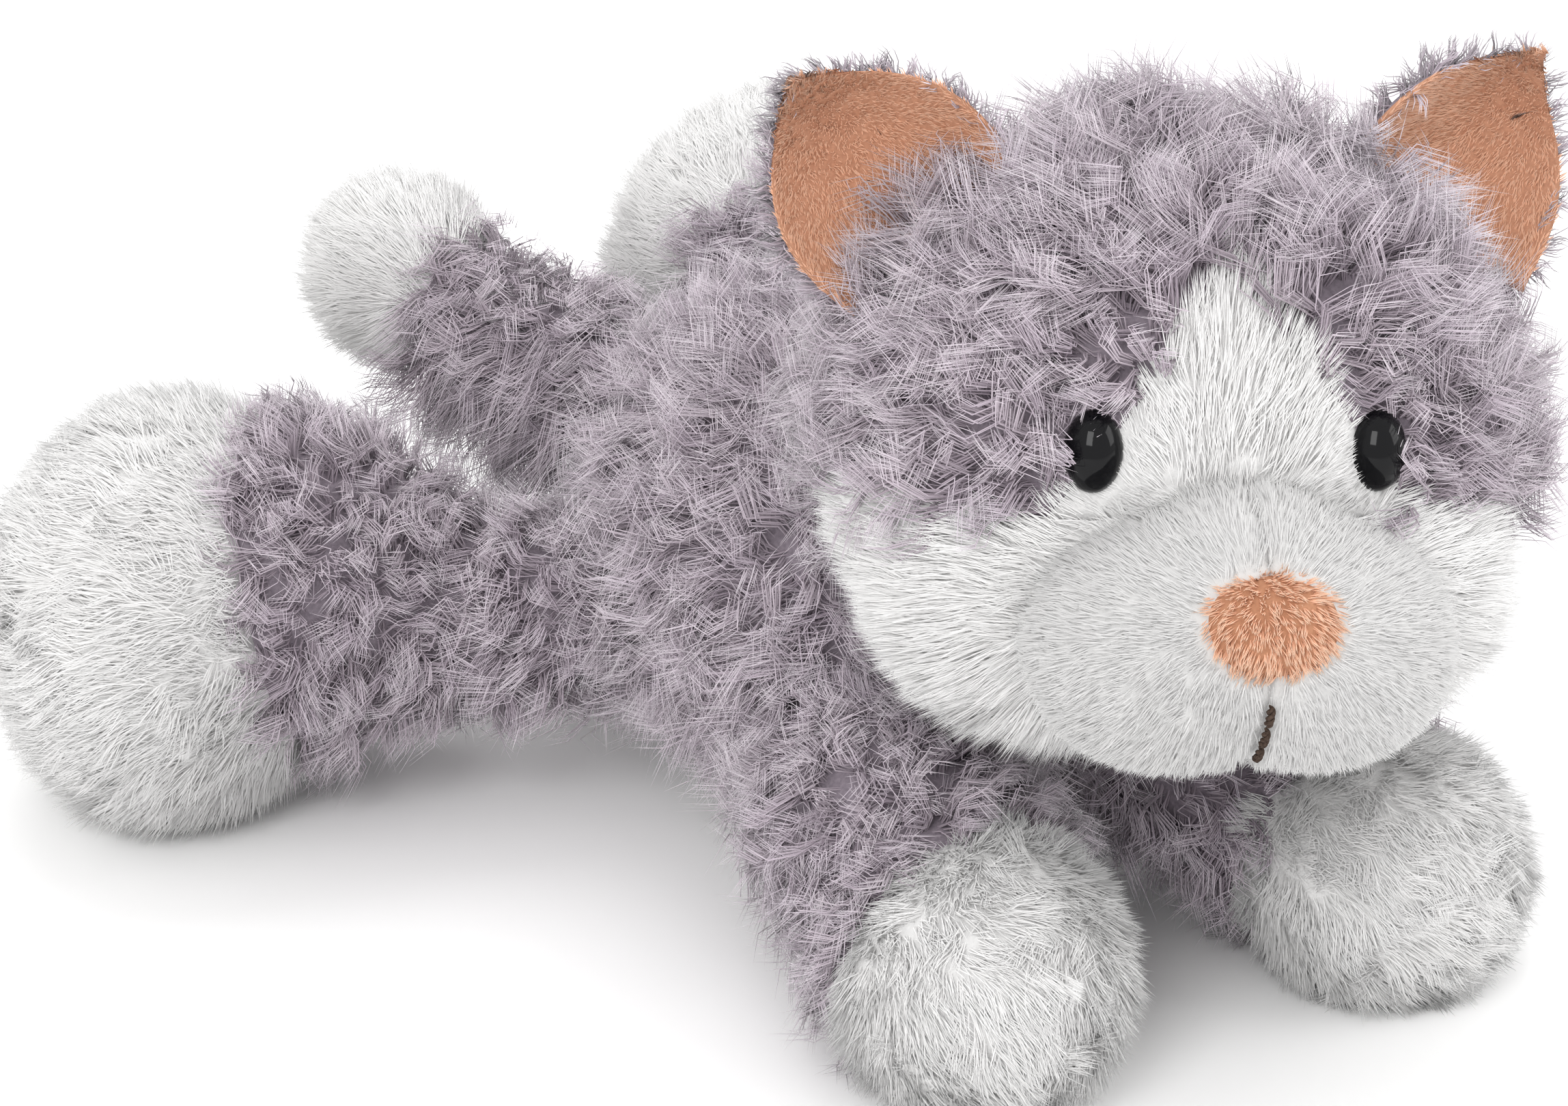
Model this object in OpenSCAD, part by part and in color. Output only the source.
// A lying plush cat, in millimetres. The cat looks along -Y, its left side is +X and +Z is up.
// The origin is the middle of the flat of the belly, on the floor. Every solid here is the
// fabric and the filling: the pile stands outside it, so paws and body look fuller than this.

/* [Torso] */
// Radius of the round torso
torso_r = 38; // [35:1:40]
// Half the length of the torso
torso_half_len = 44; // [42:1:48]
// Height of the torso's long axis above the floor
torso_z = 48; // [46:0.5:50]
// How far the rump is raised, in degrees
torso_pitch = 12; // [6:1:14]
// Radius of the lower belly, which sags to the floor
belly_r = 22; // [21:0.5:24]
// Height of the seam between the belly panel and the back panels
belly_seam_z = 22; // [18:1:26]

/* [Head] */
// Radius of the head, seen from the side
head_r = 42; // [38:1:44]
// Half the width of the head
head_half_w = 50; // [46:1:54]
// Height of the middle of the head
head_z = 89; // [86:1:96]
// How far the head lies in front of the torso's middle
head_forward = 74; // [70:1:80]
// Sideways place of the head
head_x = 10; // [-10:1:14]
// How far the head is turned to the cat's right, in degrees
head_turn = 24; // [0:1:30]
// How far the face is lifted, in degrees
head_lift = 12; // [0:1:20]
// Sideways tilt of the head, in degrees
head_tilt = 4; // [-6:1:8]

/* [Face] */
// Radius of the muzzle
muzzle_r = 18.5; // [17:0.5:20]
// Half the width of the muzzle
muzzle_half_w = 30.5; // [28:0.5:33]
// Height of an eye
eye_h = 12; // [10:0.5:13]
// Width of an eye
eye_w = 8.6; // [7:0.2:9]
// Distance between the eyes
eye_span = 41.6; // [38:0.2:46]
// Height of the tip of the white blaze above the head's middle
blaze_top = 33; // [28:1:36]
// Half the width of the blaze where it meets the cheeks
blaze_half_w = 27; // [22:1:30]
// Height of the cheek seam, from the head's middle
cheek_seam_z = -4; // [-8:1:0]

/* [Ears] */
// Width of an ear at its base
ear_w = 33; // [30:1:38]
// Height of an ear
ear_h = 33; // [30:1:38]
// Outward lean of the left ear, in degrees
ear_lean_left = 30; // [20:1:45]
// Outward lean of the right ear, in degrees
ear_lean_right = 44; // [30:1:50]

/* [Legs] */
// Radius of a front leg's sleeve
leg_r = 15; // [12:1:16]
// Radius of a hind leg's sleeve
hind_leg_r = 12; // [11:0.5:13]
// Radius of a front paw
paw_r = 19; // [17:1:21]
// Shoulder to paw, right front leg
front_reach_right = 63; // [60:1:66]
// Shoulder to paw, left front leg
front_reach_left = 69; // [62:1:72]
// Radius of a hind foot, up its sole
foot_r = 33; // [30:1:34]
// Half the thickness of a hind foot
foot_half_t = 26; // [22:1:28]
// Hip to foot, right hind leg
hind_reach_right = 91; // [88:1:98]
// Hip to foot, left hind leg
hind_reach_left = 88; // [84:1:94]
// How steeply the left hind leg is raised, in degrees
hind_lift_left = 15; // [8:1:18]

/* [Tail] */
// Radius of the tail's sleeve
tail_r = 10; // [8:0.5:11]
// Radius of the white tip
tail_tip_r = 12.5; // [11:0.5:14]

/* [Fabric] */
// Thickness of the backing with the root of its pile
skin = 2; // [1.2:0.2:2.4]
// Free space between the filling and the fabric
slack = 0.2; // [0.1:0.1:0.4]

/* [Hidden] */
$fn = 72;

// Colours of the fabrics, thread and trim
grey_pile = [0.66, 0.63, 0.68];
white_pile = [0.93, 0.93, 0.92];
peach_pile = [0.87, 0.62, 0.46];
filling = [0.96, 0.95, 0.90];
thread = [0.25, 0.19, 0.16];
black_plastic = [0.03, 0.03, 0.03];
clear_plastic = [0.85, 0.88, 0.90];

big = 300;
// How far forward the torso's middle is, and half the length of the lower belly
torso_y = -10;
belly_half_len = 26;
// Clearance of a moving piece in its recess
room = 0.6;
// Spread of a recess's mouth, a little over the largest swing of a limb
mouth_deg = 17;
mouth_len = 60;
// The mouth is this much wider than the recess where it starts
mouth_step = 0.4;

// Head frame, and things placed in it
front_seam_y = 8;
muzzle_at = [0, -44, -19];
muzzle_skin = 1.6;
nose_at = [0, -58, -13.5];
nose_r = 8;
nose_half_w = 11;
eye_at = [eye_span / 2, -38, 6];
eye_yaw = 15;
eye_stem_r = 1.5;
eye_stem_len = 8;
washer_r = 5;
washer_t = 1.2;
washer_depth = 4;
ear_at = [38, 4, 31.5];
ear_cup_r = 26;
ear_back_t = 1.6;
ear_lining_t = 1.4;
stitch_r = 0.6;

// Where each limb turns, for the left side
shoulder_at = [20, -32, 34];
hip_at = [20, 16, 34];
tail_at = [0, 28, 54];
// Headings of the limbs: degrees outward from straight ahead or straight back
front_out = 15;
hind_out_right = 55;
hind_out_left = 21;
front_drop = asin((shoulder_at[2] - paw_r + 0.4) / 66);
hind_rise_right = asin((foot_r - 0.5 - hip_at[2]) / hind_reach_right);
// The white cap starts this far before the middle of the paw or foot
paw_cap = 10;
foot_cap = 20;
// The instep rounds off the step from the sleeve up to the foot
instep_r = 25;
instep_half_len = 32;
instep_before = 16;
instep_up = 6;
tail_bend = [-12, 52, 2];
tail_end = [-24, 88, 12];
tail_cap = 14;
// The tail is a little thicker at its root and where it bends
tail_knuckle = 0.8;

// ---------- shapes ----------

// An egg: an ellipse turned round its long axis, which lies along Z
module egg(r, half_len) {
    rotate_extrude()
        polygon([for (t = [-90:9:90]) [abs(t) == 90 ? 0 : r * cos(t), half_len * sin(t)]]);
}

// The space on one side of the plane x = 0: side 1 is the cat's left, -1 its right
module half_space(side) {
    translate([side * big / 2, 0, 0])
        cube(big, center = true);
}

// The space above the height z
module above(z) {
    translate([0, 0, z + big / 2])
        cube(big, center = true);
}

// Turns Z to the direction from the origin to p
module along(p) {
    rotate([0, acos(p[2] / norm(p)), atan2(p[1], p[0])])
        children();
}

// Round recess for a limb's root, with a mouth that widens for the swing
module limb_room(r, toward) {
    sphere(r = r + room);
    mouth_r = r + room + mouth_step;
    along(toward)
        cylinder(r1 = mouth_r, r2 = mouth_r + mouth_len * tan(mouth_deg), h = mouth_len);
}

// ---------- torso ----------

module torso_form(d) {
    intersection() {
        union() {
            translate([0, torso_y, torso_z])
                rotate([90 + torso_pitch, 0, 0])
                    egg(torso_r - d, torso_half_len - d);
            translate([0, 0, belly_r - 0.5])
                rotate([90, 0, 0])
                    egg(belly_r - d, belly_half_len - d);
        }
        above(d);
    }
}

function front_way(side) =
    [side * sin(front_out) * cos(front_drop), -cos(front_out) * cos(front_drop), -sin(front_drop)];
function hind_out(side) = side > 0 ? hind_out_left : hind_out_right;
function hind_rise(side) = side > 0 ? hind_lift_left : hind_rise_right;
function hind_flat(side) = [side * sin(hind_out(side)), cos(hind_out(side)), 0];
function hind_way(side) = hind_flat(side) * cos(hind_rise(side)) + [0, 0, sin(hind_rise(side))];
function mirrored(p, side) = [side * p[0], p[1], p[2]];

// Everything that the head, legs and tail need free in the torso
module torso_recesses() {
    translate([head_x, -head_forward, head_z])
        sphere(r = head_r + 4.5);
    for (side = [-1, 1]) {
        translate(mirrored(shoulder_at, side))
            limb_room(leg_r, front_way(side));
        translate(mirrored(hip_at, side))
            limb_room(hind_leg_r, hind_way(side));
    }
    translate(tail_at)
        limb_room(tail_r + tail_knuckle, tail_bend);
}

module torso_shell() {
    difference() {
        torso_form(0);
        torso_form(skin);
        torso_recesses();
    }
}

module back_panel(side) {
    color(grey_pile)
        intersection() {
            torso_shell();
            half_space(side);
            above(belly_seam_z);
        }
}

module belly() {
    color(white_pile)
        difference() {
            torso_shell();
            above(belly_seam_z);
        }
}

module pellet_form(d) {
    translate([0, 0, 17])
        egg(18 + d, 9 + d);
}

module pellet_bag() {
    color(filling)
        pellet_form(0);
}

module body_stuffing() {
    color(filling)
        difference() {
            torso_form(skin + slack);
            torso_recesses();
            pellet_form(slack);
        }
}

// ---------- head ----------

module in_head() {
    translate([head_x, -head_forward, head_z])
        rotate([-head_lift, head_tilt, -head_turn])
            children();
}

module head_form(d) {
    rotate([0, 90, 0])
        egg(head_r - d, head_half_w - d);
}

// In front of the eye's fabric, Z points out of the eye
module at_eye(side) {
    translate(mirrored(eye_at, side))
        rotate([90, 0, side * eye_yaw])
            children();
}

module head_shell() {
    difference() {
        head_form(0);
        head_form(skin);
        for (side = [-1, 1])
            at_eye(side)
                translate([0, 0, -washer_depth * 2])
                    cylinder(r = eye_stem_r + 0.1, h = washer_depth * 4);
    }
}

// The part of the head in front of the seam over the crown
module front_part() {
    translate([0, front_seam_y - big / 2, 0])
        cube(big, center = true);
}

module blaze_space() {
    rotate([90, 0, 0])
        linear_extrude(height = big / 2)
            polygon([[-blaze_half_w, cheek_seam_z], [blaze_half_w, cheek_seam_z], [0, blaze_top]]);
}

module forehead_blaze() {
    color(white_pile)
        in_head()
            intersection() {
                head_shell();
                blaze_space();
            }
}

module head_side(side) {
    color(grey_pile)
        in_head()
            difference() {
                intersection() {
                    head_shell();
                    half_space(side);
                    front_part();
                    above(cheek_seam_z);
                }
                blaze_space();
            }
}

module cheek(side) {
    color(white_pile)
        in_head()
            difference() {
                intersection() {
                    head_shell();
                    half_space(side);
                    front_part();
                }
                above(cheek_seam_z);
            }
}

module head_back() {
    color(grey_pile)
        in_head()
            difference() {
                head_shell();
                front_part();
            }
}

module head_stuffing() {
    color(filling)
        in_head()
            difference() {
                head_form(skin + slack);
                for (side = [-1, 1])
                    at_eye(side)
                        translate([0, 0, -eye_stem_len - 1])
                            cylinder(r = washer_r + 0.5, h = eye_stem_len + 4);
            }
}

// ---------- muzzle, nose, mouth ----------

module muzzle_form(d) {
    translate(muzzle_at)
        rotate([0, 90, 0])
            egg(muzzle_r - d, muzzle_half_w - d);
}

module muzzle_half(side) {
    color(white_pile)
        in_head()
            difference() {
                intersection() {
                    muzzle_form(0);
                    half_space(side);
                }
                muzzle_form(muzzle_skin);
                head_form(-0.2);
            }
}

module muzzle_stuffing() {
    color(filling)
        in_head()
            difference() {
                muzzle_form(muzzle_skin + slack);
                head_form(-0.2);
            }
}

module nose() {
    color(peach_pile)
        in_head()
            difference() {
                translate(nose_at)
                    rotate([0, 90, 0])
                        egg(nose_r, nose_half_w);
                muzzle_form(-0.1);
            }
}

// Short stitches down the middle seam, under the nose
module mouth_stitches() {
    color(thread)
        in_head()
            for (a = [30:11:52])
                translate(muzzle_at)
                    rotate([a, 0, 0])
                        translate([0, -muzzle_r - stitch_r - 0.2, 0]) {
                            cylinder(r = stitch_r, h = 2.6, center = true);
                            for (z = [-1.3, 1.3])
                                translate([0, 0, z])
                                    sphere(r = stitch_r);
                        }
}

// ---------- eyes ----------

module eye(side) {
    color(black_plastic)
        in_head()
            at_eye(side) {
                translate([0, 0, 0.3])
                    intersection() {
                        scale([eye_w / eye_h, 1, 0.7])
                            sphere(r = eye_h / 2);
                        above(0);
                    }
                translate([0, 0, -eye_stem_len])
                    cylinder(r = eye_stem_r, h = eye_stem_len + 1);
            }
}

module eye_washer(side) {
    color(clear_plastic)
        in_head()
            at_eye(side)
                translate([0, 0, -washer_depth - washer_t])
                    difference() {
                        cylinder(r = washer_r, h = washer_t);
                        translate([0, 0, -1])
                            cylinder(r = eye_stem_r + 0.05, h = washer_t + 2);
                    }
}

// ---------- ears ----------

// Ear frame: the base lies along X, the ear grows along Z and its open cup looks along -Y
module in_ear(side) {
    in_head()
        translate(mirrored(ear_at, side))
            rotate([0, side * (side > 0 ? ear_lean_left : ear_lean_right), 0])
                children();
}

// A pointed arch, from two equal arcs that rise from the ends of the base
module ear_outline(inset) {
    half_w = ear_w / 2 - inset;
    tall = ear_h - 1.5 * inset;
    arc_r = (tall * tall + half_w * half_w) / (2 * half_w);
    intersection() {
        translate([half_w - arc_r, 0])
            circle(r = arc_r);
        translate([arc_r - half_w, 0])
            circle(r = arc_r);
        translate([-half_w, 0])
            square([2 * half_w, tall]);
    }
}

module ear_leaf(outer_r, t, inset) {
    intersection() {
        translate([0, 4 - ear_cup_r, ear_h / 3])
            difference() {
                sphere(r = outer_r);
                sphere(r = outer_r - t);
            }
        translate([0, 8, 0])
            rotate([90, 0, 0])
                linear_extrude(height = ear_cup_r)
                    ear_outline(inset);
    }
}

module ear_back(side) {
    color(grey_pile)
        in_ear(side)
            ear_leaf(ear_cup_r, ear_back_t, 0);
}

module ear_lining(side) {
    color(peach_pile)
        in_ear(side)
            ear_leaf(ear_cup_r - ear_back_t - slack, ear_lining_t, 1.2);
}

// ---------- legs ----------

// Limb frame: the limb's root is the origin and the limb grows along Z
module in_front_leg(side) {
    translate(mirrored(shoulder_at, side))
        along(front_way(side))
            children();
}

module in_hind_leg(side) {
    translate(mirrored(hip_at, side))
        along(hind_way(side))
            children();
}

function front_reach(side) = side > 0 ? front_reach_left : front_reach_right;
function hind_reach(side) = side > 0 ? hind_reach_left : hind_reach_right;

module front_form(side, d) {
    intersection() {
        in_front_leg(side) {
            sphere(r = leg_r - d);
            cylinder(r = leg_r - d, h = front_reach(side));
            translate([0, 0, front_reach(side)])
                sphere(r = paw_r - d);
        }
        above(d);
    }
}

module hind_form(side, d) {
    intersection() {
        in_hind_leg(side) {
            sphere(r = hind_leg_r - d);
            cylinder(r = hind_leg_r - d, h = hind_reach(side));
            translate([0, 0, hind_reach(side)])
                egg(foot_r - d, foot_half_t - d);
            translate([-instep_up, 0, hind_reach(side) - instep_before])
                egg(instep_r - d, instep_half_len - d);
        }
        above(d);
    }
}

// The side of the cap seam away from the body
module past_front_seam(side) {
    in_front_leg(side)
        above(front_reach(side) - paw_cap);
}

module past_hind_seam(side) {
    in_hind_leg(side)
        above(hind_reach(side) - foot_cap);
}

module front_shell(side) {
    difference() {
        front_form(side, 0);
        front_form(side, skin);
    }
}

module hind_shell(side) {
    difference() {
        hind_form(side, 0);
        hind_form(side, skin);
    }
}

module front_sleeve(side) {
    color(grey_pile)
        difference() {
            front_shell(side);
            past_front_seam(side);
        }
}

module front_paw(side) {
    color(white_pile)
        intersection() {
            front_shell(side);
            past_front_seam(side);
        }
}

module front_stuffing(side) {
    color(filling)
        front_form(side, skin + slack);
}

module hind_sleeve(side) {
    color(grey_pile)
        difference() {
            hind_shell(side);
            past_hind_seam(side);
        }
}

module hind_foot(side) {
    color(white_pile)
        intersection() {
            hind_shell(side);
            past_hind_seam(side);
        }
}

module hind_stuffing(side) {
    color(filling)
        hind_form(side, skin + slack);
}

// ---------- tail ----------

module tail_form(d) {
    sphere(r = tail_r + tail_knuckle - d);
    along(tail_bend)
        cylinder(r = tail_r - d, h = norm(tail_bend));
    translate(tail_bend) {
        sphere(r = tail_r + tail_knuckle - d);
        along(tail_end - tail_bend)
            cylinder(r = tail_r - d, h = norm(tail_end - tail_bend));
    }
    translate(tail_end)
        sphere(r = tail_tip_r - d);
}

module past_tail_seam() {
    translate(tail_bend)
        along(tail_end - tail_bend)
            above(norm(tail_end - tail_bend) - tail_cap);
}

module tail_shell() {
    difference() {
        tail_form(0);
        tail_form(skin);
    }
}

module tail_sleeve() {
    color(grey_pile)
        translate(tail_at)
            difference() {
                tail_shell();
                past_tail_seam();
            }
}

module tail_tip() {
    color(white_pile)
        translate(tail_at)
            intersection() {
                tail_shell();
                past_tail_seam();
            }
}

module tail_stuffing() {
    color(filling)
        translate(tail_at)
            tail_form(skin + slack);
}

// ---------- nodes ----------

head_side(1);  // head_side_left
head_side(-1);  // head_side_right
forehead_blaze();
cheek(1);  // cheek_left
cheek(-1);  // cheek_right
head_back();
head_stuffing();
muzzle_half(1);  // muzzle_left
muzzle_half(-1);  // muzzle_right
muzzle_stuffing();
nose();
mouth_stitches();
eye(1);  // eye_left
eye(-1);  // eye_right
eye_washer(1);  // eye_washer_left
eye_washer(-1);  // eye_washer_right
ear_back(1);  // ear_back_left
ear_lining(1);  // ear_lining_left
ear_back(-1);  // ear_back_right
ear_lining(-1);  // ear_lining_right
back_panel(1);  // back_left
back_panel(-1);  // back_right
belly();
body_stuffing();
pellet_bag();
front_sleeve(1);  // front_sleeve_left
front_paw(1);  // front_paw_left
front_stuffing(1);  // front_stuffing_left
front_sleeve(-1);  // front_sleeve_right
front_paw(-1);  // front_paw_right
front_stuffing(-1);  // front_stuffing_right
hind_sleeve(1);  // hind_sleeve_left
hind_foot(1);  // hind_foot_left
hind_stuffing(1);  // hind_stuffing_left
hind_sleeve(-1);  // hind_sleeve_right
hind_foot(-1);  // hind_foot_right
hind_stuffing(-1);  // hind_stuffing_right
tail_sleeve();
tail_tip();
tail_stuffing();
